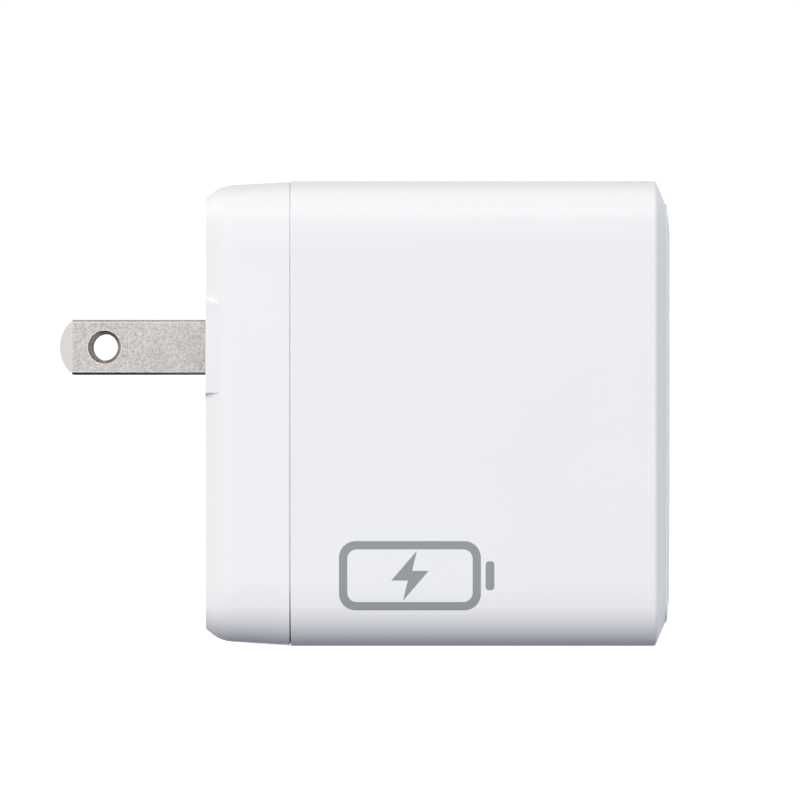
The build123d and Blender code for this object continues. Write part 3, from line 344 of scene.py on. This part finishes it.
def ink(name, colour):
    """Pad-printed ink: slightly uneven grey."""
    material, tree, shader = new_material(name)
    vector = object_coordinates(tree)
    uneven = noise(tree, vector, 0.0006, detail=4, roughness=0.6)
    tint(tree, shader, uneven, colour, dark=0.96, light=1.04)
    fine = noise(tree, vector, 0.00012)
    roughen(tree, shader, fine, 0.40, 0.50)
    bump(tree, shader, fine, depth=0.000002)
    return material


def solder_mask(name, colour):
    """Circuit board laminate: green mask over faint copper tracks."""
    material, tree, shader = new_material(name)
    vector = object_coordinates(tree)
    tracks = tree.nodes.new("ShaderNodeTexBrick")
    tracks.inputs["Scale"].default_value = TRACK_SCALE
    tracks.inputs["Mortar Size"].default_value = TRACK_GAP
    tracks.inputs["Color1"].default_value = (*colour, 1)
    tracks.inputs["Color2"].default_value = (*shade(colour, 1.25), 1)
    tracks.inputs["Mortar"].default_value = (*shade(colour, 0.6), 1)
    tree.links.new(vector, tracks.inputs["Vector"])
    tree.links.new(tracks.outputs["Color"], shader.inputs["Base Color"])
    fine = noise(tree, vector, 0.0004, detail=3)
    roughen(tree, shader, fine, 0.22, 0.34)
    bump(tree, shader, tracks.outputs["Fac"], depth=0.00002)
    return material


def sintered(name, colour):
    """Ferrite or ceramic: dark and slightly pitted."""
    material, tree, shader = new_material(name)
    pits = noise(tree, object_coordinates(tree), 0.0003, detail=5, roughness=0.7)
    tint(tree, shader, pits, colour, dark=0.6, light=1.4)
    roughen(tree, shader, pits, 0.45, 0.75)
    bump(tree, shader, pits, depth=0.00002)
    return material


def wound(name, colour, pitch, metallic):
    """Windings or tape: fine rings along Y."""
    material, tree, shader = new_material(name)
    vector = object_coordinates(tree)
    rings = tree.nodes.new("ShaderNodeTexWave")
    rings.bands_direction = "Y"
    rings.inputs["Scale"].default_value = 1 / pitch / WAVE_SPACING
    rings.inputs["Distortion"].default_value = 0.4
    tree.links.new(vector, rings.inputs["Vector"])
    tint(tree, shader, rings.outputs["Fac"], colour, dark=0.6, low=0.1, high=0.6)
    roughen(tree, shader, noise(tree, vector, pitch), 0.22, 0.34)
    bump(tree, shader, rings.outputs["Fac"], depth=pitch * 0.3)
    shader.inputs["Metallic"].default_value = metallic
    return material


def film(name, colour):
    """Thin insulating film, slightly cloudy."""
    material, tree, shader = new_material(name)
    cloud = noise(tree, object_coordinates(tree), 0.004, detail=4)
    tint(tree, shader, cloud, colour, dark=0.92)
    roughen(tree, shader, cloud, 0.18, 0.30)
    bump(tree, shader, cloud, depth=0.00002)
    return material


def make_looks():
    """One material for each slot of the frame."""
    return {
        "white_plastic": moulded_plastic("white_plastic", HOUSING_WHITE),
        "barrel_plastic": moulded_plastic("barrel_plastic", (0.80, 0.80, 0.81), roughness=0.36),
        "blade_metal": blade_metal("blade_metal"),
        "spring_steel": plated_metal("spring_steel", (0.60, 0.60, 0.61), roughness=0.28),
        "contact_bronze": plated_metal("contact_bronze", (0.72, 0.48, 0.26)),
        "lead_brown": moulded_plastic("lead_brown", (0.24, 0.11, 0.05), roughness=0.35),
        "lead_blue": moulded_plastic("lead_blue", (0.06, 0.16, 0.48), roughness=0.35),
        "board_laminate": solder_mask("board_laminate", (0.02, 0.14, 0.06)),
        "gold_contact": plated_metal("gold_contact", (0.90, 0.66, 0.30), roughness=0.22,
                                     grain=0.00008, relief=0.000001),
        "port_steel": plated_metal("port_steel", (0.66, 0.66, 0.67), roughness=0.27, variation=0.06),
        "tongue_black": moulded_plastic("tongue_black", (0.022, 0.022, 0.024), roughness=0.46),
        "capacitor_sleeve": moulded_plastic("capacitor_sleeve", (0.03, 0.03, 0.035), roughness=0.25),
        "aluminium_can": plated_metal("aluminium_can", (0.80, 0.80, 0.81), grain=0.00015,
                                      relief=0.000003, stretch=(1, 0.1, 1)),
        "ferrite": sintered("ferrite", (0.07, 0.07, 0.075)),
        "bobbin_black": moulded_plastic("bobbin_black", (0.03, 0.03, 0.03)),
        "winding_tape": wound("winding_tape", (0.80, 0.62, 0.10), pitch=0.0012, metallic=0.0),
        "copper_wire": wound("copper_wire", (0.72, 0.36, 0.18), pitch=0.0006, metallic=1.0),
        "film_box": moulded_plastic("film_box", (0.78, 0.62, 0.12), roughness=0.35),
        "ceramic_blue": sintered("ceramic_blue", (0.05, 0.20, 0.55)),
        "ceramic_green": sintered("ceramic_green", (0.05, 0.30, 0.16)),
        "chip_black": moulded_plastic("chip_black", (0.03, 0.03, 0.032), roughness=0.5),
        "chip_ceramic": sintered("chip_ceramic", (0.45, 0.33, 0.22)),
        "spreader_aluminium": plated_metal("spreader_aluminium", (0.78, 0.78, 0.79), roughness=0.34,
                                           grain=0.0002, relief=0.000004, stretch=(0.08, 1, 1)),
        "insulation_film": film("insulation_film", (0.85, 0.83, 0.70)),
        "pad_silicone": moulded_plastic("pad_silicone", (0.45, 0.52, 0.58), roughness=0.7),
    }


def dress_nodes(looks):
    """Gives each CAD node the material of its slot."""
    for part in frame["record"]["subparts"]:
        slots = NODES[part["node"]].material_slots
        slots[0].material = looks[part["material_slot"]]


# ---- printed mark -----------------------------------------------------------------------------------
def rounded_outline(width, height, radius, steps=8):
    """Points round a rounded rectangle centred on 0, counterclockwise."""
    points = []
    for corner, (side_x, side_z) in enumerate(((1, 1), (-1, 1), (-1, -1), (1, -1))):
        centre = Vector((side_x * (width / 2 - radius), side_z * (height / 2 - radius)))
        for step in range(steps + 1):
            angle = math.radians(90 * (corner + step / steps))
            points.append(centre + radius * Vector((math.cos(angle), math.sin(angle))))
    return points


def moved(points, x, z):
    return [point + Vector((x, z)) for point in points]


def flat_sheet(name, outlines, thickness):
    """Upright sheet at Y = 0 inside closed outlines of (x, z) points, with holes where they nest."""
    curve = bpy.data.curves.new(name, "CURVE")
    curve.dimensions = "2D"
    curve.fill_mode = "BOTH"
    curve.extrude = thickness / 2
    for outline in outlines:
        spline = curve.splines.new("POLY")
        spline.points.add(len(outline) - 1)
        for point, (x, z) in zip(spline.points, outline):
            point.co = (x, z, 0, 1)
        spline.use_cyclic_u = True
    holder = bpy.data.objects.new(name + "_outline", curve)
    mesh = bpy.data.meshes.new_from_object(holder)
    mesh.name = name
    bpy.data.objects.remove(holder)
    mesh.transform(Matrix.Rotation(math.radians(90), 4, "X"))
    return mesh


def lay_on_shell(mesh):
    """Cuts an upright sheet at Y = 0 into level strips and lays it on the near side of the shell."""
    shell = NODES["main_shell"].data
    surface = BVHTree.FromPolygons([v.co for v in shell.vertices], [p.vertices for p in shell.polygons])
    builder = bmesh.new()
    builder.from_mesh(mesh)
    low = min(v.co.z for v in builder.verts)
    high = max(v.co.z for v in builder.verts)
    for strip in range(1, math.ceil((high - low) / MARK_STRIP)):
        geometry = builder.verts[:] + builder.edges[:] + builder.faces[:]
        bmesh.ops.bisect_plane(builder, geom=geometry, plane_co=(0, 0, low + strip * MARK_STRIP),
                               plane_no=(0, 0, 1))
    for vertex in builder.verts:
        eye = Vector((vertex.co.x, 2 * BODY_LOW.y, vertex.co.z))
        place = surface.ray_cast(eye, Vector((0, 1, 0)))[0]
        vertex.co.y += place.y
    builder.to_mesh(mesh)
    builder.free()


def make_mark():
    """Grey battery pictogram on the side, about as large as the print on such a charger."""
    width, height = MARK_SIZE
    body = width - KNOB_ROOM
    middle_x, middle_z = MARK_CENTRE
    body_x = middle_x - KNOB_ROOM / 2
    knob_x = middle_x + body / 2 + KNOB_ROOM / 4
    case = rounded_outline(body, height, MARK_OUTER_RADIUS)
    hole = rounded_outline(body - 2 * MARK_LINE, height - 2 * MARK_LINE, MARK_INNER_RADIUS)
    knob = rounded_outline(KNOB_ROOM * KNOB_WIDTH, height * KNOB_HEIGHT, KNOB_RADIUS)
    bolt = [Vector((x * height, z * height)) for x, z in BOLT]
    outlines = [moved(case, body_x, middle_z), moved(hole, body_x, middle_z),
                moved(knob, knob_x, middle_z), moved(bolt, body_x, middle_z)]
    mesh = flat_sheet("printed_mark", outlines, INK_THICKNESS)
    lay_on_shell(mesh)
    mesh.materials.append(ink("mark_ink", INK_GREY))
    add_piece("printed_mark", mesh)


# ---- seam -------------------------------------------------------------------------------------------
def body_outline(inset, steps=45):
    """(y, z) points round the body's section, moved inwards by inset, counterclockwise."""
    tight = CORNER_RADIUS - inset
    gentle = CORNER_LEAD_RADIUS - inset
    lead = math.radians(CORNER_LEAD_ANGLE)
    reach = (CORNER_LEAD_RADIUS - CORNER_RADIUS) * math.cos(lead) - CORNER_LEAD_RADIUS
    points = []
    for quarter, (side_y, side_z) in enumerate(((1, 1), (-1, 1), (-1, -1), (1, -1))):
        middle = Vector((side_y * (BODY_HIGH.y + reach), side_z * (BODY_HIGH.z + reach)))
        start = math.radians(90 * quarter)
        for step in range(steps + 1):
            turn = math.radians(90) * step / steps
            joint = min(max(turn, lead), math.radians(90) - lead)
            if joint == turn:
                centre, radius = middle, tight
            else:
                away = Vector((math.cos(start + joint), math.sin(start + joint)))
                centre, radius = middle - away * (gentle - tight), gentle
            points.append(centre + radius * Vector((math.cos(start + turn), math.sin(start + turn))))
    return points


def seam_outline(inset):
    """Outline of the seam's bottom, moved inwards by inset, which sinks towards the underside."""
    start, end = SEAM_DEEPENS
    points = []
    for shallow, deep in zip(body_outline(SEAM_DEPTH + inset), body_outline(SEAM_DEPTH_LOW + inset)):
        share = min(max((start - shallow.y) / (start - end), 0), 1)
        points.append(shallow.lerp(deep, share))
    return points


def make_seam_ring(plastic):
    """Shoulder at the bottom of the seam between the rear cover and the main shell."""
    back = BODY_LOW.x - SEAM_GAP - SEAM_RING_OVERLAP
    front = BODY_LOW.x + SEAM_RING_OVERLAP
    outer = seam_outline(0)
    inner = seam_outline(SEAM_RING_WALL)
    builder = bmesh.new()
    loops = [[builder.verts.new((x, y, z)) for y, z in outline]
             for x, outline in ((back, outer), (front, outer), (front, inner), (back, inner))]
    count = len(outer)
    for loop, next_loop in zip(loops, loops[1:] + loops[:1]):
        for i in range(count):
            j = (i + 1) % count
            builder.faces.new((loop[i], loop[j], next_loop[j], next_loop[i]))
    bmesh.ops.recalc_face_normals(builder, faces=builder.faces)
    add_piece("seam_ring", finished_mesh(builder, "seam_ring", plastic))


# ---- studio -----------------------------------------------------------------------------------------
def make_camera():
    data = bpy.data.cameras.new("camera")
    data.lens = LENS
    data.sensor_width = SENSOR
    data.clip_end = CLIP_END
    camera = add_object("camera", data)
    camera.location = (VIEW_CENTRE_X, -VIEW_WIDTH * LENS / SENSOR, VIEW_CENTRE_Z)
    camera.rotation_euler = (math.radians(90), 0, 0)
    bpy.context.scene.camera = camera


def make_lamp(name, azimuth, elevation, distance, size, power):
    """Softbox aimed at the object. Azimuth 0 is where the camera stands, 90 is the +X side."""
    data = bpy.data.lights.new(name, "AREA")
    data.shape = "RECTANGLE"
    data.size, data.size_y = size
    data.energy = power
    lamp = add_object(name, data)
    turn = math.radians(azimuth)
    rise = math.radians(elevation)
    away = Vector((math.sin(turn) * math.cos(rise), -math.cos(turn) * math.cos(rise), math.sin(rise)))
    lamp.location = LAMP_TARGET + away * distance
    lamp.rotation_mode = "QUATERNION"
    lamp.rotation_quaternion = away.to_track_quat("Z", "Y")
    lamp.visible_camera = False


def make_world():
    """Soft surroundings, graded by elevation, with a darker side."""
    world = bpy.data.worlds.new("studio")
    world.use_nodes = True
    tree = world.node_tree
    coordinates = tree.nodes.new("ShaderNodeTexCoord")
    split = tree.nodes.new("ShaderNodeSeparateXYZ")
    tree.links.new(coordinates.outputs["Generated"], split.inputs["Vector"])
    height = spread(tree, split.outputs["Z"], 0, 1, from_low=-1, from_high=1)
    by_height = ramp(tree, height, [((math.sin(math.radians(elevation)) + 1) / 2, colour)
                                    for elevation, colour in SURROUNDINGS])
    by_side = ramp(tree, split.outputs["X"], [(0, (1, 1, 1)), (1, FLAG_TINT)])
    product = tree.nodes.new("ShaderNodeVectorMath")
    product.operation = "MULTIPLY"
    tree.links.new(by_height, product.inputs[0])
    tree.links.new(by_side, product.inputs[1])
    tree.links.new(product.outputs["Vector"], tree.nodes["Background"].inputs["Color"])
    bpy.context.scene.world = world


def glow_material(name, glow, colour=(0, 0, 0)):
    """Backdrop that shines evenly. It takes light and shadow as far as its colour isn't black."""
    material, _, shader = new_material(name)
    shader.inputs["Base Color"].default_value = (*colour, 1)
    shader.inputs["Roughness"].default_value = 1.0
    shader.inputs["Specular IOR Level"].default_value = 0.0
    shader.inputs["Emission Color"].default_value = (1, 1, 1, 1)
    shader.inputs["Emission Strength"].default_value = glow
    return material


def seen_only(backdrop):
    """The camera sees it, and it neither lights the object nor shades it."""
    backdrop.visible_diffuse = False
    backdrop.visible_glossy = False
    backdrop.visible_transmission = False
    backdrop.visible_shadow = False


def make_backdrop():
    """White dome all round, and a floor under the object."""
    builder = bmesh.new()
    bmesh.ops.create_icosphere(builder, subdivisions=4, radius=DOME_RADIUS)
    dome_white = glow_material("backdrop_white", BACKDROP_GLOW)
    dome = add_object("dome", finished_mesh(builder, "dome", dome_white))
    builder = bmesh.new()
    bmesh.ops.create_grid(builder, x_segments=1, y_segments=1, size=FLOOR_SIZE / 2)
    floor_white = glow_material("floor_white", FLOOR_GLOW, FLOOR_WHITE)
    floor = add_object("floor", finished_mesh(builder, "floor", floor_white))
    floor.location = (0, 0, FLOOR_Z)
    seen_only(dome)
    seen_only(floor)


make_camera()
make_world()
for lamp in LAMPS:
    make_lamp(*lamp)
make_backdrop()
looks = make_looks()
dress_nodes(looks)
make_seam_ring(looks["white_plastic"])
make_mark()
bpy.context.scene.view_settings.view_transform = "Standard"
